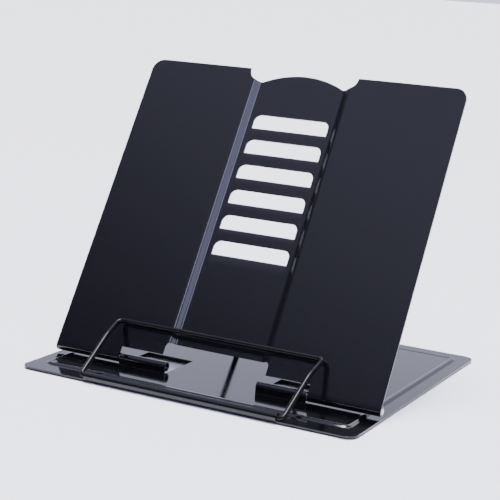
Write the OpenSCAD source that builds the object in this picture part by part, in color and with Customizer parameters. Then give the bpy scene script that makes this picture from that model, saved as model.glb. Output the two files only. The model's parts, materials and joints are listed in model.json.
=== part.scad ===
// Folding stand for an open photo album: a pressed base, a tilting back plate,
// a wire bail that holds the pages and a wire prop that sets the tilt.
// Millimetres. X is the width, +Y points to the rear, Z is up.
// The origin is under the middle of the whole stand, on the surface it stands on.

/* [Sheet metal] */
// Thickness of the base and of the back plate
sheet_t = 1.0; // [0.9:0.05:1.1]
// Radial clearance of each wire or pin in its roll
fit_gap = 0.08; // [0.05:0.01:0.1]

/* [Base] */
// Width of the base
base_w = 216; // [210:1:225]
// Depth of the base sheet
base_d = 203.5; // [200:0.5:210]
// Corner radius of the base
base_r = 7; // [6:0.5:10]
// Width of the slope between the rim and the raised panel
step_w = 4.6; // [4:0.1:5]
// Height of the raised panel above the rim
step_h = 0.8; // [0.6:0.1:0.9]
// Height of the panel's border bead above the panel
lip_h = 0.3; // [0.1:0.05:0.35]
// Width of the border bead
lip_w = 2.3; // [2:0.1:2.4]
// Width of the rim at each side
rim_side = 7.8; // [7:0.2:10]
// Width of the rim at the front
rim_front = 12.2; // [11:0.2:14]
// Width of the rim at the rear
rim_rear = 10.8; // [9:0.2:12]

/* [Back plate] */
// Width of the back plate
plate_w = 215.7; // [210:0.1:225]
// Length of the back plate from its hinge axis
plate_l = 200.4; // [195:0.2:205]
// Tilt of the back plate from the base, opened
tilt = 59.5; // [58:0.5:61]
// Radius of its top corners
plate_r = 7.5; // [6:0.5:12]
// Radius of the notch on each side of the channel's domed end
notch_r = 7.5; // [5:0.5:7.5]
// Half width of the channel at the front face
channel_out = 32.8; // [32:0.1:34]
// Half width of the channel's flat bottom
channel_in = 29; // [27:0.1:30]
// Depth of the channel
channel_h = 3; // [2:0.25:3.5]
// Number of slots in the channel
slot_n = 6; // [4:1:6]
// Height of the lowest slot's lower edge along the plate
slot_s0 = 75; // [72:1:78]
// Spacing of the slots
slot_pitch = 17.23; // [16:0.01:18]
// Height of a slot
slot_h = 9.07; // [8:0.01:10]
// Half width of a slot
slot_half = 25.5; // [24:0.1:26]
// Radius of a slot's upper corners
slot_r = 4.5; // [3:0.5:4.5]
// How far the tongue under each slot stands out behind
tongue = 3.5; // [3:0.25:4]

/* [Hinge] */
// Diameter of the hinge pins
pin_d = 3.6; // [3.4:0.1:3.8]
// Distance from the base's front edge to the hinge axis
hinge_y = 40.3; // [38:0.1:43]
// Height of the hinge axis above the rim of the base
hinge_z = 4.3; // [4:0.1:5]
// Inner end of each base roll, from the middle
roll_in = 30.4; // [29:0.1:32]
// Outer end of each base roll
roll_out = 62.2; // [60:0.1:63]
// Outer end of each plate knuckle
knuckle_out = 107.5; // [106:0.1:107.6]
// Length of the lanced hole behind each base roll
lance_l = 34.5; // [30:0.5:36]

/* [Page bail] */
// Diameter of the bail wire
bail_d = 3.2; // [3:0.1:3.4]
// Half length of the rolled hem that holds the bail
hem_half = 62.3; // [60:0.1:63]
// Distance from the base's front edge to the hem axis
hem_y = 1.4; // [1:0.1:2]
// How deep each foot of the bail reaches into the hem
bail_foot = 47; // [30:1:55]

/* [Prop] */
// Diameter of the prop wire
prop_d = 3.5; // [3.3:0.1:3.6]
// Half distance between the prop's legs
prop_half = 25.5; // [25:0.1:27]
// Distance from the hinge axis back to the prop's axis
prop_back = 85; // [84:0.5:86]
// Height of the prop's axis above the rim of the base
prop_z = 3.2; // [3.1:0.1:3.4]
// Half length of the roll that holds the prop
prop_roll_half = 22; // [20:0.5:22.5]
// Length of the lanced hole behind the prop's roll
prop_lance_l = 16; // [12:0.5:20]

/* [Pads] */
// Diameter of a pad
pad_d = 12; // [8:1:13]
// Height of a pad
pad_h = 1.8; // [1.5:0.1:2.5]
// Distance from the side edges to the pads' centres
pad_side = 22; // [20:1:30]
// Distance from the front and rear edges to the pads' centres
pad_end = 26; // [25:1:35]

/* [Hidden] */
$fn = 48;
cut = 1;                                   // how far a cutter runs past a face
touch = 0.2;                               // how far joined features sink into each other
base_top = pad_h - step_h + sheet_t;       // height of the rim's upper face
bail_bore = bail_d + 2 * fit_gap;
pin_bore = pin_d + 2 * fit_gap;
prop_bore = prop_d + 2 * fit_gap;
hem_od = bail_bore + 2 * sheet_t;
hinge_od = pin_bore + 2 * sheet_t;
prop_od = prop_bore + 2 * sheet_t;
hem_out = hem_od / 2 - hem_y;              // how far the hem stands out in front
front = -(base_d + hem_out) / 2 + hem_out; // Y of the base sheet's front edge
pin_over = 0.3;                            // how far a pin shows past its knuckle's side
pin_inner = 1.2;                           // and how far inside its roll it ends
knuckle_gap = 0.8;                         // between a base roll and the plate's knuckle
knuckle_in = roll_out + knuckle_gap;
notch_s = 6.4;                             // lower edge of the plate above the base rolls
foot_half = 34.5;                          // half width of the cut-out between the rolls
foot_s = 14.5;                             // upper edge of that cut-out
foot_r = 3;
top_notch_half = 37.2;                     // the plate's top edge ends here on each side
dome_half = 27.5;                          // the channel's domed end starts here
dome_s = 192.7;
dome_top = 199.3;
dome_rise = dome_top - dome_s;
dome_r = (dome_half * dome_half + dome_rise * dome_rise) / (2 * dome_rise);
slope = atan(channel_h / (channel_out - channel_in));
miter = sheet_t * tan(slope / 2);          // shift of the rear face's bends
hem_axis = [0, front + hem_y, base_top - sheet_t + hem_od / 2];
hinge_axis = [0, front + hinge_y, base_top + hinge_z];
prop_axis = [0, front + hinge_y + prop_back, base_top + prop_z];
bail_leg = 65.6;                           // half width of the bail beside the hem
bail_kink = [66.8, front + 30, base_top + 20];
bail_top = [68, front + 45, base_top + 26];
prop_top_s = 72.5;                         // the prop's crossbar, along the plate
prop_top_n = 7.5;                          // and behind the hinge axis
prop_top = hinge_axis + prop_top_s * [0, cos(tilt), sin(tilt)]
         + prop_top_n * [0, sin(tilt), -cos(tilt)];
prop_foot_in = 3;
step_foot_r = 6;                           // corner radius at the foot of the slope
terraces = 4;                              // levels that make up the slope
ball = 1.05;                               // size of a corner ball against its wire
trim = 0.5;                                // how short of a corner each bar stops
black = [0.13, 0.13, 0.16];                // colours
dark_grey = [0.2, 0.2, 0.22];
rubber = [0.08, 0.08, 0.08];

module rounded_rect(x0, y0, x1, y1, r) {
    translate([x0 + r, y0]) square([x1 - x0 - 2 * r, y1 - y0]);
    translate([x0, y0 + r]) square([x1 - x0, y1 - y0 - 2 * r]);
    for (x = [x0 + r, x1 - r], y = [y0 + r, y1 - r]) translate([x, y]) circle(r);
}

// a round bar along X between two X values, on the given axis
module bar(axis, x0, x1, d) {
    translate([x0, axis[1], axis[2]]) rotate([0, 90, 0]) cylinder(h = x1 - x0, d = d);
}

// a round wire from one point to another
module rod(a, b, d) {
    v = b - a;
    flat = norm([v[0], v[1]]);
    translate(a) rotate([0, atan2(flat, v[2]), atan2(v[1], v[0])]) cylinder(h = norm(v), d = d);
}

// a wire through all the points, with ball corners; each bar stops just short of a corner
module wire(points, d) {
    last = len(points) - 1;
    for (i = [1:last]) {
        along = (points[i] - points[i - 1]) / norm(points[i] - points[i - 1]);
        rod(points[i - 1] + (i > 1 ? trim : 0) * along,
            points[i] - (i < last ? trim : 0) * along, d);
    }
    for (i = [1:last - 1]) translate(points[i]) sphere(d = d * ball);
}

module on_plate() {
    translate(hinge_axis) rotate([tilt, 0, 0]) children();
}

// the area inside the slope, taken a distance in from its foot
module panel_area(inset) {
    x = base_w / 2 - rim_side - inset;
    rounded_rect(-x, front + rim_front + inset, x, front + base_d - rim_rear - inset,
                 step_foot_r - inset);
}

module holes() {
    for (side = [-1, 1])
        translate([side * (roll_in + roll_out) / 2 - (roll_out - roll_in) / 2,
                   hinge_axis[1] - hinge_od / 2 + sheet_t])
            square([roll_out - roll_in, lance_l]);
    translate([-prop_roll_half, prop_axis[1] + prop_od / 2])
        square([2 * prop_roll_half, prop_lance_l]);
}

// the rim, the slope as a few levels, and the raised panel
module pressed_sheet() {
    level = step_w / terraces;
    translate([0, 0, base_top - sheet_t]) linear_extrude(sheet_t) difference() {
        rounded_rect(-base_w / 2, front, base_w / 2, front + base_d, base_r);
        panel_area(level / 2);
    }
    for (i = [1:terraces - 1])
        translate([0, 0, base_top - sheet_t + step_h * i / terraces])
            linear_extrude(sheet_t) difference() {
                panel_area(level * (i - 1));
                panel_area(level * (i + 0.5));
            }
    translate([0, 0, base_top - sheet_t + step_h]) linear_extrude(sheet_t) difference() {
        panel_area(level * (terraces - 1));
        holes();
    }
    translate([0, 0, base_top - sheet_t + step_h]) linear_extrude(sheet_t + lip_h) difference() {
        panel_area(step_w - lip_w);
        panel_area(step_w);
    }
}

// a tongue that rises from the sheet and rolls round an axis
module roll(axis, x0, x1, od) {
    bar(axis, x0, x1, od);
    panel = base_top - sheet_t + step_h;
    translate([x0, axis[1] - od / 2, panel]) cube([x1 - x0, sheet_t, axis[2] - panel]);
}

module base_plate() {
    color(black) difference() {
        union() {
            pressed_sheet();
            bar(hem_axis, -hem_half, hem_half, hem_od);
            roll(hinge_axis, roll_in, roll_out, hinge_od);
            roll(hinge_axis, -roll_out, -roll_in, hinge_od);
            roll(prop_axis, -prop_roll_half, prop_roll_half, prop_od);
        }
        bar(hem_axis, -hem_half - cut, hem_half + cut, bail_bore);
        bar(hinge_axis, roll_in - cut, roll_out + cut, pin_bore);
        bar(hinge_axis, -roll_out - cut, -roll_in + cut, pin_bore);
        bar(prop_axis, -prop_roll_half - cut, prop_roll_half + cut, prop_bore);
    }
}

// the back plate is drawn lying in its own plane: Y runs up the plate, Z towards the front
module plate_section() {
    face = hinge_od / 2;
    half = plate_w / 2;
    polygon([[-half, face], [-channel_out, face], [-channel_in, face - channel_h],
             [channel_in, face - channel_h], [channel_out, face], [half, face],
             [half, face - sheet_t], [channel_out + miter, face - sheet_t],
             [channel_in + miter, face - sheet_t - channel_h],
             [-channel_in - miter, face - sheet_t - channel_h],
             [-channel_out - miter, face - sheet_t], [-half, face - sheet_t]]);
}

module slot_shape() {
    square([2 * slot_half, slot_h - slot_r]);
    translate([slot_r, 0]) square([2 * (slot_half - slot_r), slot_h]);
    for (x = [slot_r, 2 * slot_half - slot_r]) translate([x, slot_h - slot_r]) circle(slot_r);
}

module plate_outline() {
    half = plate_w / 2;
    difference() {
        union() {
            translate([-half, 0]) square([plate_w, plate_l - plate_r]);
            translate([-half + plate_r, 0]) square([plate_w - 2 * plate_r, plate_l]);
            for (side = [-1, 1])
                translate([side * (half - plate_r), plate_l - plate_r]) circle(plate_r);
        }
        difference() {
            rounded_rect(-top_notch_half, dome_s, top_notch_half, plate_l + 2 * notch_r, notch_r);
            translate([0, dome_top - dome_r]) circle(dome_r);
        }
        translate([-knuckle_in, -cut]) square([2 * knuckle_in, notch_s + cut]);
        rounded_rect(-foot_half, -foot_s, foot_half, foot_s, foot_r);
        for (k = [0:slot_n - 1])
            translate([-slot_half, slot_s0 + k * slot_pitch]) slot_shape();
    }
}

module back_plate() {
    panel = hinge_od / 2 - sheet_t - channel_h;
    color(black) on_plate() difference() {
        union() {
            intersection() {
                translate([0, plate_l + cut, 0]) rotate([90, 0, 0])
                    linear_extrude(plate_l + 2 * cut) plate_section();
                translate([0, 0, -hinge_od]) linear_extrude(2 * hinge_od) plate_outline();
            }
            for (side = [-1, 1])
                bar([0, 0, 0], side > 0 ? knuckle_in : -knuckle_out,
                    side > 0 ? knuckle_out : -knuckle_in, hinge_od);
            for (k = [0:slot_n - 1])
                translate([-slot_half, slot_s0 + k * slot_pitch - sheet_t, panel - tongue])
                    cube([2 * slot_half, sheet_t, tongue + touch]);
        }
        bar([0, 0, 0], -plate_w, plate_w, pin_bore);
    }
}

module hinge_pin(side) {
    inner = roll_in + pin_inner;
    outer = plate_w / 2 + pin_over;
    color("silver")
        bar(hinge_axis, side > 0 ? inner : -outer, side > 0 ? outer : -inner, pin_d);
}

module page_bail() {
    y = hem_axis[1];
    z = hem_axis[2];
    foot = hem_half - bail_foot;
    half = [[foot, y, z], [bail_leg, y, z], bail_kink, bail_top];
    color(dark_grey) wire(concat(
        [for (i = [0:3]) [-half[i][0], half[i][1], half[i][2]]],
        [for (i = [3:-1:0]) half[i]]), bail_d);
}

module prop_wire() {
    y = prop_axis[1];
    z = prop_axis[2];
    color(dark_grey) wire([
        [-prop_foot_in, y, z], [-prop_half, y, z],
        [-prop_half, prop_top[1], prop_top[2]], [prop_half, prop_top[1], prop_top[2]],
        [prop_half, y, z], [prop_foot_in, y, z]], prop_d);
}

module pad(side, end) {
    y = end < 0 ? front + pad_end : front + base_d - pad_end;
    color(rubber) translate([side * (base_w / 2 - pad_side), y, 0])
        cylinder(h = pad_h, d = pad_d);
}

base_plate();
back_plate();
hinge_pin(-1);  // hinge_pin_left
hinge_pin(1);  // hinge_pin_right
page_bail();
prop_wire();
pad(-1, -1);  // pad_front_left
pad(1, -1);  // pad_front_right
pad(-1, 1);  // pad_rear_left
pad(1, 1);  // pad_rear_right
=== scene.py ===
# Photo album stand: pressed base, folding slotted back plate, page bail and rear prop.
import json
from math import cos, radians, sin

import bmesh
import bpy
import numpy as np
from mathutils import Matrix, Vector


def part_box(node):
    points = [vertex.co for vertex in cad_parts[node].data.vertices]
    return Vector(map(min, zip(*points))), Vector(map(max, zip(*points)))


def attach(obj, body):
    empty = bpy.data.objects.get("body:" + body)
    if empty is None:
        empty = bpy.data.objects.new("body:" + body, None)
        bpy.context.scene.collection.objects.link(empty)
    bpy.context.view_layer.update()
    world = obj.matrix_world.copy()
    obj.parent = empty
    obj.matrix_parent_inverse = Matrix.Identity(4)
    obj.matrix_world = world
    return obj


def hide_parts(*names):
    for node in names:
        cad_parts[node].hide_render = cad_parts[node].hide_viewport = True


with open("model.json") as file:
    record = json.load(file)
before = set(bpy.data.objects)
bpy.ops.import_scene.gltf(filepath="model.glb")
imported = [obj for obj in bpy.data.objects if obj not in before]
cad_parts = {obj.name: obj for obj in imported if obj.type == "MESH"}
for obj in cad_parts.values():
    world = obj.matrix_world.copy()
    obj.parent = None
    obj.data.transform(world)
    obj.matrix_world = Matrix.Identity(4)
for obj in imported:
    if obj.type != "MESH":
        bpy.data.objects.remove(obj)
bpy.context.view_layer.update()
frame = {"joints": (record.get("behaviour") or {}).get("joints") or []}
millimetre = 0.001
jointPlace = {joint["name"]: np.array(joint["pos_m"]) / millimetre for joint in frame["joints"]}

cameraSettings = {
    "azimuth": 26.37, "elevation": 10.99, "roll": 3.81,       # degrees
    "lens": 101.3, "sensor": 36.0,                            # millimetres
    "place": (0.3693, -0.7661, 0.2377),                       # metres
}


def makeCamera(settings):
    # the camera's axes: right and up, turned by the roll, and back along the view
    turn = radians(settings["azimuth"])
    rise = radians(settings["elevation"])
    roll = radians(settings["roll"])
    forward = np.array([-sin(turn) * cos(rise), cos(turn) * cos(rise), -sin(rise)])
    level = np.array([cos(turn), sin(turn), 0.0])
    upright = np.cross(level, forward)
    axes = np.eye(4)
    axes[:3, 0] = cos(roll) * level + sin(roll) * upright
    axes[:3, 1] = cos(roll) * upright - sin(roll) * level
    axes[:3, 2] = -forward
    axes[:3, 3] = settings["place"]
    data = bpy.data.cameras.new("studioCamera")
    data.lens = settings["lens"]
    data.sensor_width = settings["sensor"]
    camera = bpy.data.objects.new("studioCamera", data)
    camera.matrix_world = Matrix(axes.tolist())
    bpy.context.scene.collection.objects.link(camera)
    bpy.context.scene.camera = camera


makeCamera(cameraSettings)
print("camera placed")


def addMesh(name, points, faces, body, cadNode):
    # points are metres in the frame; faces is a list of index rows
    mesh = bpy.data.meshes.new(name)
    mesh.from_pydata(np.asarray(points).tolist(), [], faces)
    mesh.update()
    mesh.polygons.foreach_set("use_smooth", np.full(len(mesh.polygons), True))
    piece = bpy.data.objects.new(name, mesh)
    bpy.context.scene.collection.objects.link(piece)
    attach(piece, body)
    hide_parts(cadNode)
    return piece


def turnOutwards(piece):
    # joins points that meet and turns every face outwards
    mergeDistance = 0.01 * millimetre
    work = bmesh.new()
    work.from_mesh(piece.data)
    bmesh.ops.remove_doubles(work, verts=work.verts, dist=mergeDistance)
    bmesh.ops.recalc_face_normals(work, faces=work.faces)
    work.to_mesh(piece.data)
    work.free()


def quadsOf(index):
    # a quad between each pair of neighbouring rows and columns of point numbers
    corners = [index[:-1, :-1], index[:-1, 1:], index[1:, 1:], index[1:, :-1]]
    return np.stack(corners, axis=-1).reshape(-1, 4)


def ringQuads(rows, columns):
    # the same for rows that are closed rings
    index = np.arange(rows * columns).reshape(rows, columns)
    return quadsOf(np.hstack([index, index[:, :1]]))


def spaced(*stops):
    # even steps between stops: value, steps, value, steps, ... value
    values = [np.array([stops[0]])]
    for low, count, high in zip(stops[0:-2:2], stops[1:-1:2], stops[2::2]):
        values.append(np.linspace(low, high, count + 1)[1:])
    return np.concatenate(values)


def curl(centreU, centreW, radius, start, sweep, steps=30):
    # points on a circle, from the start angle through the sweep, in degrees
    angle = np.radians(start + sweep * np.arange(1, steps + 1) / steps)
    return np.stack([centreU + radius * np.cos(angle), centreW + radius * np.sin(angle)], axis=-1)


sheetSettings = {"edgeRound": 0.22, "edgeSegments": 2, "edgeAngle": 50}   # the rounded cut edge


class Sheet:
    # a sheet of metal: a grid in x and u, with cells left out, flaps bent from its
    # rows and rounded hole corners; w is the height of its middle surface
    def __init__(self, across, along, heightOf, warp):
        self.across = across
        self.along = along
        self.heightOf = heightOf
        x, u = warp(*np.meshgrid(across, along))
        self.points = [np.stack([x, u, heightOf(x, u)], axis=-1).reshape(-1, 3)]
        self.count = len(across) * len(along)
        self.keep = np.ones((len(along) - 1, len(across) - 1), dtype=bool)
        self.faces = []

    def column(self, x):
        return int(np.argmin(np.abs(self.across - x)))

    def row(self, u):
        return int(np.argmin(np.abs(self.along - u)))

    def cutOut(self, x0, u0, x1, u1):
        # leaves out the cells whose middle lies inside the rectangle
        middleX = (self.across[:-1] + self.across[1:]) / 2
        middleU = (self.along[:-1] + self.along[1:]) / 2
        insideX = (middleX > x0) & (middleX < x1)
        insideU = (middleU > u0) & (middleU < u1)
        self.keep &= ~(insideU[:, None] & insideX[None, :])

    def addPoints(self, block):
        start = self.count
        self.points.append(block.reshape(-1, 3))
        self.count += len(self.points[-1])
        return start

    def flap(self, x0, x1, u, path):
        # rows that carry on from the grid row at u along path, an array of (u, w)
        first, last = self.column(x0), self.column(x1)
        columns = self.across[first:last + 1]
        block = np.empty((len(path), len(columns), 3))
        block[..., 0] = columns[None, :]
        block[..., 1:] = path[:, None, :]
        start = self.addPoints(block)
        edge = self.row(u) * len(self.across) + np.arange(first, last + 1)
        index = start + np.arange(len(path) * len(columns)).reshape(len(path), len(columns))
        self.faces += quadsOf(np.vstack([edge[None, :], index])).tolist()

    def roundCorner(self, x, u, towardX, towardU, radius):
        # fills a hole's corner up to an arc; the hole lies towards towardX and towardU
        awayX = (self.across - x) * towardX / radius
        awayU = (self.along - u) * towardU / radius
        slack = 0.01 / radius
        columns = np.flatnonzero((awayX >= 0) & (awayX <= 1 + slack))
        rows = np.flatnonzero((awayU > 0) & (awayU <= 1 + slack))
        columns = columns[np.argsort(-awayX[columns])]
        rows = rows[np.argsort(awayU[rows])]
        width = len(self.across)
        edge = np.concatenate([self.row(u) * width + columns, rows * width + self.column(x)])
        travelled = np.concatenate([1 - awayX[columns], 1 + awayU[rows]])
        angle = np.clip(travelled, 0, 2) * np.pi / 4
        arcX = x + towardX * radius * (1 - np.sin(angle))
        arcU = u + towardU * radius * (1 - np.cos(angle))
        arc = np.stack([arcX, arcU, self.heightOf(arcX, arcU)], axis=-1)
        start = self.addPoints(arc[1:-1])
        inner = np.concatenate([edge[:1], start + np.arange(len(edge) - 2), edge[-1:]])
        fan = np.stack([edge[:-1], edge[1:], inner[1:], inner[:-1]], axis=-1).tolist()
        self.faces += [list(dict.fromkeys(face)) for face in fan]

    def build(self, name, place, thickness, body, cadNode):
        index = np.arange(len(self.across) * len(self.along)).reshape(len(self.along), len(self.across))
        grid = quadsOf(index)[self.keep.ravel()].tolist()
        points = place(np.concatenate(self.points))
        piece = addMesh(name, points, grid + self.faces, body, cadNode)
        work = bmesh.new()
        work.from_mesh(piece.data)
        loose = [vert for vert in work.verts if not vert.link_faces]
        bmesh.ops.delete(work, geom=loose, context="VERTS")
        bmesh.ops.recalc_face_normals(work, faces=work.faces)
        work.to_mesh(piece.data)
        work.free()
        solid = piece.modifiers.new("thickness", "SOLIDIFY")
        solid.thickness = thickness * millimetre
        solid.offset = 0
        solid.use_even_offset = True
        edge = piece.modifiers.new("edge", "BEVEL")
        edge.width = sheetSettings["edgeRound"] * millimetre
        edge.segments = sheetSettings["edgeSegments"]
        edge.limit_method = "ANGLE"
        edge.angle_limit = radians(sheetSettings["edgeAngle"])
        edge.harden_normals = True
        return piece


# the base is worked out with u from its front edge and w from the upper face of its rim
baseSettings = {
    "width": 216.0, "depth": 203.5, "cornerRadius": 7.0, "thickness": 1.0,
    "top": 2.0,                                               # height of the rim's upper face
    "rimSide": 7.8, "rimFront": 12.2, "rimRear": 10.8,
    "stepWidth": 4.6, "stepHeight": 0.8, "footCorner": 6.0,   # the slope, and its corner radius
    "lipHeight": 0.3, "crest": 0.5,                           # border bead, and its crest on the slope
    "hemHalf": 62.3, "hemRadius": 2.18, "hemAxis": 1.4, "hemSweep": 300,
    "rollIn": 30.4, "rollOut": 62.2, "rollRadius": 2.38, "rollSweep": 294, "lanceLength": 34.5,
    "propHalf": 22.0, "propRadius": 2.33, "propSweep": 280, "propLance": 16.0,
    "bend": 0.65,                                             # middle radius where a flap leaves the sheet
}
hinge = jointPlace["plate_fold"]
propAxis = jointPlace["prop_fold"]
hemAxis = jointPlace["bail_swing"]
sheetOrigin = np.array([0, hemAxis[1] - baseSettings["hemAxis"], baseSettings["top"]])


def roundedBoxDistance(x, y, halfX, halfY, radius):
    # signed distance to a rounded rectangle centred on the origin, negative inside
    qx = np.abs(x) - halfX + radius
    qy = np.abs(y) - halfY + radius
    outside = np.hypot(np.maximum(qx, 0), np.maximum(qy, 0))
    return outside + np.minimum(np.maximum(qx, qy), 0) - radius


def smoothStep(share):
    # rises from 0 to 1 with level ends: three squares less two cubes
    share = np.clip(share, 0, 1)
    return share * share * (3 - 2 * share)


def baseHeight(x, u):
    # a smoothed step along a rounded rectangle rises to a crest, then falls to the raised panel
    s = baseSettings
    low, high = s["rimFront"], s["depth"] - s["rimRear"]
    away = roundedBoxDistance(x, u - (low + high) / 2, s["width"] / 2 - s["rimSide"], (high - low) / 2,
                              s["footCorner"])
    part = -away / s["stepWidth"]
    rise = smoothStep(part / s["crest"])
    fall = smoothStep((part - s["crest"]) / (1 - s["crest"]))
    return (s["stepHeight"] + s["lipHeight"]) * rise - s["lipHeight"] * fall - s["thickness"] / 2


def baseWarp(x, u):
    # turns each square corner of the grid into a quarter disc
    s = baseSettings
    r = s["cornerRadius"]
    centreX = s["width"] / 2 - r
    middle = s["depth"] / 2
    centreU = middle - r
    p = np.abs(x) - centreX
    q = np.abs(u - middle) - centreU
    corner = (p > 0) & (q > 0)
    reach = np.maximum(p, q)
    tiny = 1e-9
    share = np.where(p >= q, q / np.maximum(p, tiny), 2 - p / np.maximum(q, tiny))
    angle = share * np.pi / 4
    newX = np.sign(x) * (centreX + reach * np.cos(angle))
    newU = middle + np.sign(u - middle) * (centreU + reach * np.sin(angle))
    return np.where(corner, newX, x), np.where(corner, newU, u)


def rolledTongue(neck, middle, bend, centreU, centreW, radius, sweep):
    # a quarter bend up from the sheet's middle surface, then a roll round its axis
    return np.vstack([curl(neck, middle + bend, bend, 270, 90, 6),
                      curl(centreU, centreW, radius, 180, -1, 1),
                      curl(centreU, centreW, radius, 179, -sweep)])


def makeBase(s):
    half = s["width"] / 2
    margin = 0.6                                              # close lines go this far past the slope
    footX = half - s["rimSide"] + margin
    topX = footX - s["stepWidth"] - 2 * margin
    right = spaced(0, 6, s["propHalf"], 3, s["rollIn"], 10, s["rollOut"], 1, s["hemHalf"], 8,
                   topX, 24, footX, 3, half - s["cornerRadius"], 10, half)
    across = np.concatenate([-right[:0:-1], right])
    hingeU, hingeW = (hinge - sheetOrigin)[1:]
    propU, propW = (propAxis - sheetOrigin)[1:]
    neck = hingeU - s["rollRadius"] - s["bend"]
    propNeck = propU - s["propRadius"] - s["bend"]
    lanceEnd = hingeU - s["rollRadius"] + s["lanceLength"]
    propEnd = propU + s["propRadius"] + s["propLance"]
    footU = s["depth"] - s["rimRear"] + margin
    along = spaced(0, 2, s["hemAxis"], 7, s["cornerRadius"], 4, s["rimFront"] - margin, 22,
                   s["rimFront"] + s["stepWidth"] + margin, 8,
                   neck, 10, lanceEnd, 12, propNeck, 6, propEnd, 10,
                   footU - s["stepWidth"] - 2 * margin, 24, footU, 3,
                   s["depth"] - s["cornerRadius"], 10, s["depth"])
    sheet = Sheet(across, along, baseHeight, baseWarp)
    sheet.cutOut(-s["hemHalf"], -1, s["hemHalf"], s["hemAxis"])
    sheet.flap(-s["hemHalf"], s["hemHalf"], s["hemAxis"],
               curl(s["hemAxis"], hemAxis[2] - s["top"], s["hemRadius"], 270, -s["hemSweep"]))
    middle = s["stepHeight"] - s["thickness"] / 2
    roll = rolledTongue(neck, middle, s["bend"], hingeU, hingeW, s["rollRadius"], s["rollSweep"])
    for low, high in ((-s["rollOut"], -s["rollIn"]), (s["rollIn"], s["rollOut"])):
        sheet.cutOut(low, neck, high, lanceEnd)
        sheet.flap(low, high, neck, roll)
    sheet.cutOut(-s["propHalf"], propNeck, s["propHalf"], propEnd)
    sheet.flap(-s["propHalf"], s["propHalf"], propNeck,
               rolledTongue(propNeck, middle, s["bend"], propU, propW, s["propRadius"], s["propSweep"]))

    def place(points):
        return (points + sheetOrigin) * millimetre

    return sheet.build("baseSheet", place, s["thickness"], "base", "base_plate")


basePiece = makeBase(baseSettings)
print("base made")

# the back plate is worked out with u up the plate from its hinge axis and w towards the front
plateSettings = {
    "width": 215.7, "length": 200.4, "cornerRadius": 7.5, "thickness": 1.0, "tilt": 59.5,
    "rollRadius": 2.38, "rollSweep": 302,
    "channelOut": 32.8, "channelIn": 29.0, "channelDepth": 3.0, "channelBend": 1.3,
    "slotCount": 6, "firstSlot": 75.0, "slotPitch": 17.23, "slotHeight": 9.07,
    "slotHalf": 25.5, "slotRadius": 4.5,
    "tongueLength": 3.5, "tongueBend": 1.2,
    "knuckleIn": 63.0, "notchHeight": 6.4, "footHalf": 34.5, "footHeight": 14.5, "footRadius": 3.0,
    "topNotch": 37.2, "notchRadius": 7.5, "domeHalf": 27.5, "domeStart": 192.7, "domeTop": 199.3,
    "stretchFrom": 3.0,                                       # from the last slot to where rows stretch
}


def plateHeight(x, u):
    # two straight walls blended with smooth bends, alike at every u: an integral of a smoothed step
    s = plateSettings
    slope = s["channelDepth"] / (s["channelOut"] - s["channelIn"])
    soft = s["channelBend"] / 4
    away = np.abs(x)

    def ramp(value):
        return soft * np.logaddexp(0, value / soft)

    drop = slope * (ramp(s["channelOut"] - away) - ramp(s["channelIn"] - away))
    return s["rollRadius"] - drop


def arcRise(distance, radius):
    # height of a circle's edge above its centre, at a distance from its middle line
    return np.sqrt(np.maximum(radius ** 2 - distance ** 2, 0))


def topEdge(x):
    # the top outline: rounded outer corners, a round notch on each side and a domed channel end
    s = plateSettings
    away = np.abs(x)
    rise = s["domeTop"] - s["domeStart"]
    domeRadius = (s["domeHalf"] ** 2 + rise ** 2) / (2 * rise)
    dome = s["domeTop"] - domeRadius + arcRise(away, domeRadius)
    bite = np.maximum(away - (s["topNotch"] - s["notchRadius"]), 0)
    notch = s["domeStart"] + s["notchRadius"] - arcRise(bite, s["notchRadius"])
    corner = np.maximum(away - (s["width"] / 2 - s["cornerRadius"]), 0)
    outer = s["length"] - s["cornerRadius"] + arcRise(corner, s["cornerRadius"])
    return np.where(away < s["domeHalf"], dome, np.where(away < s["topNotch"], notch, outer))


def stretchStart(s):
    return s["firstSlot"] + (s["slotCount"] - 1) * s["slotPitch"] + s["slotHeight"] + s["stretchFrom"]


def plateWarp(x, u):
    # the rows above the last slot stretch to meet the top outline
    start = stretchStart(plateSettings)
    share = np.clip((u - start) / (plateSettings["length"] - start), 0, 1)
    return x, np.where(u > start, start + share * (topEdge(x) - start), u)


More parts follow.
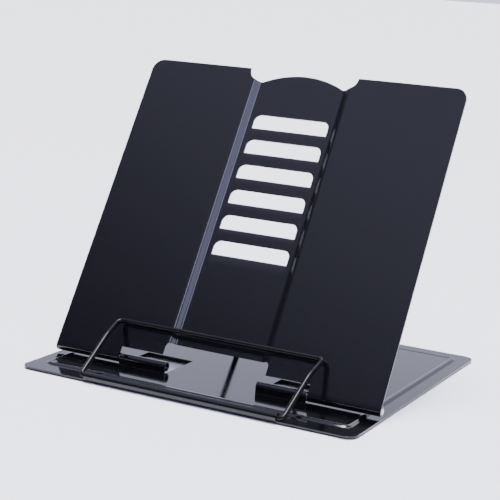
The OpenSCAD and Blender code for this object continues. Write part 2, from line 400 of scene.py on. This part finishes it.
def makePlate(s):
    half = s["width"] / 2
    r = s["slotRadius"]
    turn = np.sin(np.linspace(0, np.pi / 2, 9)[1:])
    bendEnd = s["channelIn"] + 1.2                            # close lines cover the channel's inner bend
    right = np.concatenate([
        spaced(0, 8, s["slotHalf"] - r, 5, s["slotHalf"], 2, s["domeHalf"], 10, bendEnd, 3,
               s["footHalf"] - s["footRadius"], 10, s["footHalf"], 2, s["topNotch"], 8, s["knuckleIn"], 12,
               half - s["cornerRadius"]),
        s["topNotch"] - s["notchRadius"] * (1 - turn),
        half - s["cornerRadius"] + s["cornerRadius"] * turn])
    right = np.unique(np.round(right, 3))
    across = np.concatenate([-right[:0:-1], right])
    bottoms = s["firstSlot"] + s["slotPitch"] * np.arange(s["slotCount"])
    step = s["tongueBend"] + s["thickness"] / 2
    stops = [0, 3, s["notchHeight"], 3, s["footHeight"] - s["footRadius"], 3, s["footHeight"], 12]
    for bottom in bottoms:
        top = bottom + s["slotHeight"]
        stops += [bottom - step, 2, bottom, 2, top - r, 5, top, 3]
    stops += [stretchStart(s), 10, s["length"]]
    sheet = Sheet(across, spaced(*stops), plateHeight, plateWarp)
    sheet.cutOut(-s["knuckleIn"], -1, s["knuckleIn"], s["notchHeight"])
    sheet.cutOut(-s["footHalf"], 0, s["footHalf"], s["footHeight"])
    for side in (1, -1):
        sheet.roundCorner(side * s["footHalf"], s["footHeight"], -side, -1, s["footRadius"])
    panel = float(plateHeight(np.array(0.0), 0))
    for bottom in bottoms:
        top = bottom + s["slotHeight"]
        sheet.cutOut(-s["slotHalf"], bottom - step, s["slotHalf"], top)
        for side in (1, -1):
            sheet.roundCorner(side * s["slotHalf"], top, -side, -1, r)
        bend = curl(bottom - step, panel - s["tongueBend"], s["tongueBend"], 90, -90, 6)
        tip = [bottom - s["thickness"] / 2, panel - s["tongueLength"] - s["thickness"] / 2]
        sheet.flap(-s["slotHalf"], s["slotHalf"], bottom - step, np.vstack([bend, tip]))
    for low, high in ((-half, -s["knuckleIn"]), (s["knuckleIn"], half)):
        sheet.flap(low, high, 0, curl(0, 0, s["rollRadius"], 90, s["rollSweep"]))
    lean = radians(s["tilt"])

    def place(points):
        x, u, w = points.T
        y = hinge[1] + u * cos(lean) - w * sin(lean)
        z = hinge[2] + u * sin(lean) + w * cos(lean)
        return np.stack([x, y, z], axis=-1) * millimetre

    return sheet.build("plateSheet", place, s["thickness"], "plate", "back_plate")


platePiece = makePlate(plateSettings)
print("back plate made")

wireSettings = {
    "sides": 24,
    "bailDiameter": 3.2, "bailFoot": 15.3, "bailLeg": 65.6,
    "bailKink": (66.8, 30.0, 20.0), "bailTop": (68.0, 45.0, 26.0),   # from the front edge and the rim
    "bailRadii": (2.56, 30.0, 3.0), "bailLean": 29,                  # bends from foot to top; degrees
    "propDiameter": 3.5, "propFoot": 3.0, "propHalf": 25.5,
    "propAlong": 72.5, "propBehind": 7.5,                            # the crossbar, from the plate's hinge
    "propRadii": (3.0, 5.0),
}


def roundedPath(corners, radii, steps=8):
    # straight runs joined by arcs, each arc tangent to both runs of its corner
    path = [corners[0]]
    for before, corner, after, radius in zip(corners, corners[1:], corners[2:], radii):
        back = (before - corner) / np.linalg.norm(before - corner)
        ahead = (after - corner) / np.linalg.norm(after - corner)
        halfAngle = np.arccos(np.clip(back @ ahead, -1, 1)) / 2
        reach = radius / np.tan(halfAngle)
        inward = (back + ahead) / np.linalg.norm(back + ahead)
        centre = corner + inward * radius / np.sin(halfAngle)
        start = corner + back * reach - centre
        end = corner + ahead * reach - centre
        whole = np.pi - 2 * halfAngle
        part = np.linspace(0, 1, steps + 1)[:, None]
        arc = np.sin((1 - part) * whole) * start + np.sin(part * whole) * end
        path.extend(centre + arc / np.sin(whole))
    path.append(corners[-1])
    return np.array(path)


def sweepWire(name, half, radii, across, diameter, body, cadNode):
    # a circle carried along a path and its mirror image; across is never parallel to the path
    left = [point * np.array([-1, 1, 1]) for point in half]
    path = roundedPath(left + half[::-1], radii + radii[::-1])
    sides = wireSettings["sides"]
    step = np.gradient(path, axis=0)
    step /= np.linalg.norm(step, axis=1, keepdims=True)
    side = np.cross(step, across)
    side /= np.linalg.norm(side, axis=1, keepdims=True)
    rise = np.cross(side, step)
    angle = np.linspace(0, 2 * np.pi, sides, endpoint=False)
    ring = np.cos(angle)[None, :, None] * side[:, None, :] + np.sin(angle)[None, :, None] * rise[:, None, :]
    points = (path[:, None, :] + ring * diameter / 2).reshape(-1, 3) * millimetre
    faces = ringQuads(len(path), sides).tolist()
    faces += [list(range(sides))[::-1], list(range(len(points) - sides, len(points)))]
    piece = addMesh(name, points, faces, body, cadNode)
    turnOutwards(piece)
    return piece


def makeBail(s):
    half = [np.array([s["bailFoot"], *hemAxis[1:]]), np.array([s["bailLeg"], *hemAxis[1:]]),
            s["bailKink"] + sheetOrigin, s["bailTop"] + sheetOrigin]
    lean = radians(s["bailLean"])
    across = np.array([0, -sin(lean), cos(lean)])
    return sweepWire("bailWire", half, s["bailRadii"], across, s["bailDiameter"], "bail", "page_bail")


def makeProp(s):
    lean = radians(plateSettings["tilt"])
    up = np.array([0, cos(lean), sin(lean)])
    behind = np.array([0, sin(lean), -cos(lean)])
    top = hinge + s["propAlong"] * up + s["propBehind"] * behind
    half = [np.array([s["propFoot"], *propAxis[1:]]), np.array([s["propHalf"], *propAxis[1:]]),
            np.array([s["propHalf"], *top[1:]])]
    leg = top - propAxis
    across = np.cross([1, 0, 0], leg / np.linalg.norm(leg))
    return sweepWire("propWire", half, s["propRadii"], across, s["propDiameter"], "prop", "prop_wire")


bailPiece = makeBail(wireSettings)
propPiece = makeProp(wireSettings)
print("wires made")

pinSettings = {"edge": 0.35, "middle": 0.5, "sides": 32}      # middle: where a flat end's centre face starts
padSettings = {
    "edge": 0.45, "sides": 48,
    "hollow": 0.15, "hollowRings": (0.3, 0.55, 0.7),          # a dish underneath, in shares of the radius
    "topEdge": 0.1, "topMiddle": 0.5,
}


def turned(name, profile, axis, centre, sides, cadNode):
    # a profile of (distance along, radius) turned about an axis; its ends are closed flat
    angle = np.linspace(0, 2 * np.pi, sides, endpoint=False)
    run, radius = np.array(profile).T
    order = {"x": (0, 1, 2), "z": (2, 0, 1)}[axis]
    points = np.empty((len(run), sides, 3))
    points[..., order[0]] = run[:, None]
    points[..., order[1]] = np.outer(radius, np.cos(angle))
    points[..., order[2]] = np.outer(radius, np.sin(angle))
    points = (points + np.array(centre)).reshape(-1, 3) * millimetre
    faces = ringQuads(len(run), sides).tolist()
    faces += [list(range(sides)), list(range(len(points) - sides, len(points)))]
    piece = addMesh(name, points, faces, "base", cadNode)
    turnOutwards(piece)
    return piece


def roundedRim(flat, inwards, radius, edge, steps):
    # a quarter round from the flat end to the side, as (distance along, radius)
    turn = np.linspace(0, np.pi / 2, steps)
    return [(flat + inwards * edge * (1 - cos(a)), radius - edge + edge * sin(a)) for a in turn]


def makePin(node, name, s):
    low, high = (np.array(corner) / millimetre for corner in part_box(node))
    radius = (high[2] - low[2]) / 2
    middle = (radius - s["edge"]) * s["middle"]
    profile = [(low[0], middle), *roundedRim(low[0], 1, radius, s["edge"], 5)]
    profile += [*roundedRim(high[0], -1, radius, s["edge"], 5)[::-1], (high[0], middle)]
    centre = (0, (low[1] + high[1]) / 2, (low[2] + high[2]) / 2)
    return turned(name, profile, "x", centre, s["sides"], node)


def makePad(node, name, s):
    low, high = (np.array(corner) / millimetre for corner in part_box(node))
    radius = (high[0] - low[0]) / 2
    inner, outer, lip = (share * radius for share in s["hollowRings"])
    profile = [(s["hollow"], inner), (s["hollow"], outer), (0, lip)]
    profile += roundedRim(0, 1, radius, s["edge"], 6)
    profile += [(high[2], radius - s["topEdge"]), (high[2], radius * s["topMiddle"])]
    centre = ((low[0] + high[0]) / 2, (low[1] + high[1]) / 2, 0)
    return turned(name, profile, "z", centre, s["sides"], node)


pinPieces = [makePin("hinge_pin_left", "pinLeft", pinSettings),
             makePin("hinge_pin_right", "pinRight", pinSettings)]
padPieces = [makePad("pad_" + end + "_" + side, "pad" + end.title() + side.title(), padSettings)
             for end in ("front", "rear") for side in ("left", "right")]
print("pins and pads made")


def setInputs(node, values):
    for label, value in values.items():
        node.inputs[label].default_value = value


filmSettings = {
    "peel": {"Detail": 2},
    "bump": {"Distance": 0.0002},
    "wipe": {"Scale": 14, "Detail": 5},
    "spread": {"From Min": 0.3, "From Max": 0.7, "To Min": 0.86, "To Max": 1.16},
    "specks": {"Scale": 260},
    "mask": {"From Min": 0.045, "From Max": 0.02},
    "dusty": (0.12, 0.12, 0.13, 1),
}


def makePaintGroup(s):
    # orange peel, faint wiping marks and scattered dust, as colour, roughness and normal
    group = bpy.data.node_groups.new("paintFilm", "ShaderNodeTree")
    for label, kind in (("Vector", "Vector"), ("Base Roughness", "Float"), ("Peel Size", "Float"),
                        ("Peel Height", "Float"), ("Dust", "Float"), ("Clean", "Color")):
        group.interface.new_socket(label, in_out="INPUT", socket_type="NodeSocket" + kind)
    for label, kind in (("Color", "Color"), ("Roughness", "Float"), ("Normal", "Vector")):
        group.interface.new_socket(label, in_out="OUTPUT", socket_type="NodeSocket" + kind)
    nodes, link = group.nodes, group.links.new
    source, result = nodes.new("NodeGroupInput"), nodes.new("NodeGroupOutput")

    def multiplied(first, second):
        product = nodes.new("ShaderNodeMath")
        product.operation = "MULTIPLY"
        link(first, product.inputs[0])
        link(second, product.inputs[1])
        return product.outputs["Value"]

    peel = nodes.new("ShaderNodeTexNoise")
    setInputs(peel, s["peel"])
    link(source.outputs["Vector"], peel.inputs["Vector"])
    link(source.outputs["Peel Size"], peel.inputs["Scale"])
    bump = nodes.new("ShaderNodeBump")
    setInputs(bump, s["bump"])
    link(source.outputs["Peel Height"], bump.inputs["Strength"])
    link(peel.outputs["Fac"], bump.inputs["Height"])
    link(bump.outputs["Normal"], result.inputs["Normal"])
    wipe = nodes.new("ShaderNodeTexNoise")
    setInputs(wipe, s["wipe"])
    link(source.outputs["Vector"], wipe.inputs["Vector"])
    spread = nodes.new("ShaderNodeMapRange")
    setInputs(spread, s["spread"])
    link(wipe.outputs["Fac"], spread.inputs["Value"])
    link(multiplied(source.outputs["Base Roughness"], spread.outputs["Result"]), result.inputs["Roughness"])
    specks = nodes.new("ShaderNodeTexVoronoi")
    setInputs(specks, s["specks"])
    link(source.outputs["Vector"], specks.inputs["Vector"])
    mask = nodes.new("ShaderNodeMapRange")
    setInputs(mask, s["mask"])
    link(specks.outputs["Distance"], mask.inputs["Value"])
    mix = nodes.new("ShaderNodeMix")
    mix.data_type = "RGBA"
    link(multiplied(mask.outputs["Result"], source.outputs["Dust"]), mix.inputs["Factor"])
    link(source.outputs["Clean"], mix.inputs["A"])
    mix.inputs["B"].default_value = s["dusty"]
    link(mix.outputs["Result"], result.inputs["Color"])
    return group


paintGroup = makePaintGroup(filmSettings)
paintSettings = {
    "glossBlack": {"clean": (0.0015, 0.0015, 0.002), "roughness": 0.09, "peel": 600.0, "height": 0.06,
                   "dust": 0.05, "specular": 0.5},
    "satinBlack": {"clean": (0.0025, 0.0025, 0.0036), "roughness": 0.14, "peel": 800.0, "height": 0.06,
                   "dust": 0.04, "specular": 0.5},
    "wireBlack": {"clean": (0.002, 0.002, 0.0026), "roughness": 0.24, "peel": 1200.0, "height": 0.06,
                  "dust": 0.03, "specular": 0.18},
}
grainSettings = {
    "drawnSteel": {"stretch": (60, 2500, 2500), "scale": 1, "detail": 3,
                   "dark": (0.42, 0.42, 0.44, 1), "light": (0.68, 0.68, 0.70, 1),
                   "bump": {"Strength": 0.15, "Distance": 0.0001},
                   "finish": {"Metallic": 1, "Roughness": 0.28}},
    "mattRubber": {"stretch": (1, 1, 1), "scale": 1800, "detail": 2,
                   "dark": (0.012, 0.012, 0.012, 1), "light": (0.035, 0.035, 0.035, 1),
                   "bump": {"Strength": 0.3, "Distance": 0.0002},
                   "finish": {"Metallic": 0, "Roughness": 0.85}},
}


def newMaterial(name):
    material = bpy.data.materials.new(name)
    material.use_nodes = True
    nodes = material.node_tree.nodes
    return material, nodes, material.node_tree.links.new, nodes["Principled BSDF"]


def makePaint(name, s):
    # black paint: the film's colour, roughness and normal on a glossy coat
    material, nodes, link, shader = newMaterial(name)
    film = nodes.new("ShaderNodeGroup")
    film.node_tree = paintGroup
    setInputs(film, {"Base Roughness": s["roughness"], "Peel Size": s["peel"], "Peel Height": s["height"],
                     "Dust": s["dust"], "Clean": (*s["clean"], 1)})
    link(nodes.new("ShaderNodeTexCoord").outputs["Object"], film.inputs["Vector"])
    link(film.outputs["Color"], shader.inputs["Base Color"])
    link(film.outputs["Roughness"], shader.inputs["Roughness"])
    link(film.outputs["Normal"], shader.inputs["Normal"])
    shader.inputs["Specular IOR Level"].default_value = s["specular"]
    return material


def makeGrained(name, s):
    # a fine grain between a dark and a light tone, which also raises the surface a little
    material, nodes, link, shader = newMaterial(name)
    stretch = nodes.new("ShaderNodeMapping")
    stretch.inputs["Scale"].default_value = s["stretch"]
    link(nodes.new("ShaderNodeTexCoord").outputs["Object"], stretch.inputs["Vector"])
    grain = nodes.new("ShaderNodeTexNoise")
    setInputs(grain, {"Scale": s["scale"], "Detail": s["detail"]})
    link(stretch.outputs["Vector"], grain.inputs["Vector"])
    ramp = nodes.new("ShaderNodeValToRGB")
    ramp.color_ramp.elements[0].color = s["dark"]
    ramp.color_ramp.elements[1].color = s["light"]
    link(grain.outputs["Fac"], ramp.inputs["Fac"])
    link(ramp.outputs["Color"], shader.inputs["Base Color"])
    bump = nodes.new("ShaderNodeBump")
    setInputs(bump, s["bump"])
    link(grain.outputs["Fac"], bump.inputs["Height"])
    link(bump.outputs["Normal"], shader.inputs["Normal"])
    setInputs(shader, s["finish"])
    return material


def paintPieces(material, *pieces):
    for piece in pieces:
        piece.data.materials.clear()
        piece.data.materials.append(material)


paintPieces(makePaint("glossBlackPaint", paintSettings["glossBlack"]), basePiece)
paintPieces(makePaint("satinBlackPaint", paintSettings["satinBlack"]), platePiece)
paintPieces(makePaint("wireBlackPaint", paintSettings["wireBlack"]), bailPiece, propPiece)
paintPieces(makeGrained("bareSteel", grainSettings["drawnSteel"]), *pinPieces)
paintPieces(makeGrained("padRubber", grainSettings["mattRubber"]), *padPieces)
print("materials made")

floorSettings = {
    "radius": 30.0, "rings": 8, "sides": 64,
    "color": (0.93, 0.93, 0.94, 1), "finish": {"Roughness": 0.9, "Specular IOR Level": 0.1},
}
worldSettings = (                                             # direction, from, to, dim, bright, colour
    ("Y", 0.0, 0.5, 0.0, 1.4, (0.80, 0.82, 1.04)),            # a bright backdrop behind
    ("Z", 0.56, 0.78, 0.2, 1.05, (0.80, 0.80, 1.12)),         # a soft glow in front, dim low down
    ("Z", 0.93, 0.985, 0.0, 30.0, (0.97, 0.98, 1.03)),        # a strong light overhead
)
lightSettings = {
    "keySoftbox": {"place": (1.51, -0.88, 1.38), "size": (0.55, 0.95), "power": 6.5},
    "stripLight": {"place": (0.80, -1.32, 1.66), "size": (0.5, 0.95), "power": 18.0},
    "color": (0.72, 0.72, 1.12), "aim": (0, 0, 0.08),
}


def makeFloor(s):
    # a flat disc, drawn as rings that widen outwards
    rings = np.linspace(0, 1, s["rings"] + 1)[1:] ** 2 * s["radius"]
    angle = np.linspace(0, 2 * np.pi, s["sides"], endpoint=False)
    flat = np.zeros((len(rings), len(angle)))
    points = np.stack([np.outer(rings, np.cos(angle)), np.outer(rings, np.sin(angle)), flat], axis=-1)
    faces = ringQuads(len(rings), len(angle))[:, ::-1].tolist()
    faces.append(list(range(len(angle))))
    mesh = bpy.data.meshes.new("floor")
    mesh.from_pydata(points.reshape(-1, 3).tolist(), [], faces)
    floor = bpy.data.objects.new("floor", mesh)
    bpy.context.scene.collection.objects.link(floor)
    material, _, _, shader = newMaterial("floorPaper")
    shader.inputs["Base Color"].default_value = s["color"]
    setInputs(shader, s["finish"])
    mesh.materials.append(material)


def makeWorld(zones):
    # each zone glows along one direction, and the brightest zone wins
    world = bpy.data.worlds.new("studio")
    bpy.context.scene.world = world
    world.use_nodes = True
    nodes, link = world.node_tree.nodes, world.node_tree.links.new
    split = nodes.new("ShaderNodeSeparateXYZ")
    link(nodes.new("ShaderNodeTexCoord").outputs["Generated"], split.inputs["Vector"])
    brightest = None
    for direction, low, high, dim, bright, color in zones:
        span = nodes.new("ShaderNodeMapRange")
        span.interpolation_type = "SMOOTHSTEP"
        setInputs(span, {"From Min": low, "From Max": high, "To Min": dim, "To Max": bright})
        link(split.outputs[direction], span.inputs["Value"])
        glow = nodes.new("ShaderNodeVectorMath")
        glow.operation = "SCALE"
        glow.inputs[0].default_value = color
        link(span.outputs["Result"], glow.inputs["Scale"])
        if brightest:
            most = nodes.new("ShaderNodeVectorMath")
            most.operation = "MAXIMUM"
            link(brightest.outputs["Vector"], most.inputs[0])
            link(glow.outputs["Vector"], most.inputs[1])
        brightest = most if brightest else glow
    link(brightest.outputs["Vector"], nodes["Background"].inputs["Color"])


def makeSoftbox(name, s, color, aim):
    data = bpy.data.lights.new(name, "AREA")
    data.shape = "RECTANGLE"
    data.size, data.size_y = s["size"]
    data.energy = s["power"]
    data.color = color
    lamp = bpy.data.objects.new(name, data)
    bpy.context.scene.collection.objects.link(lamp)
    lamp.location = s["place"]
    view = Vector(aim) - Vector(s["place"])
    lamp.rotation_euler = view.to_track_quat("-Z", "Y").to_euler()


makeFloor(floorSettings)
makeWorld(worldSettings)
for lightName in ("keySoftbox", "stripLight"):
    makeSoftbox(lightName, lightSettings[lightName], lightSettings["color"], lightSettings["aim"])
print("stage made")
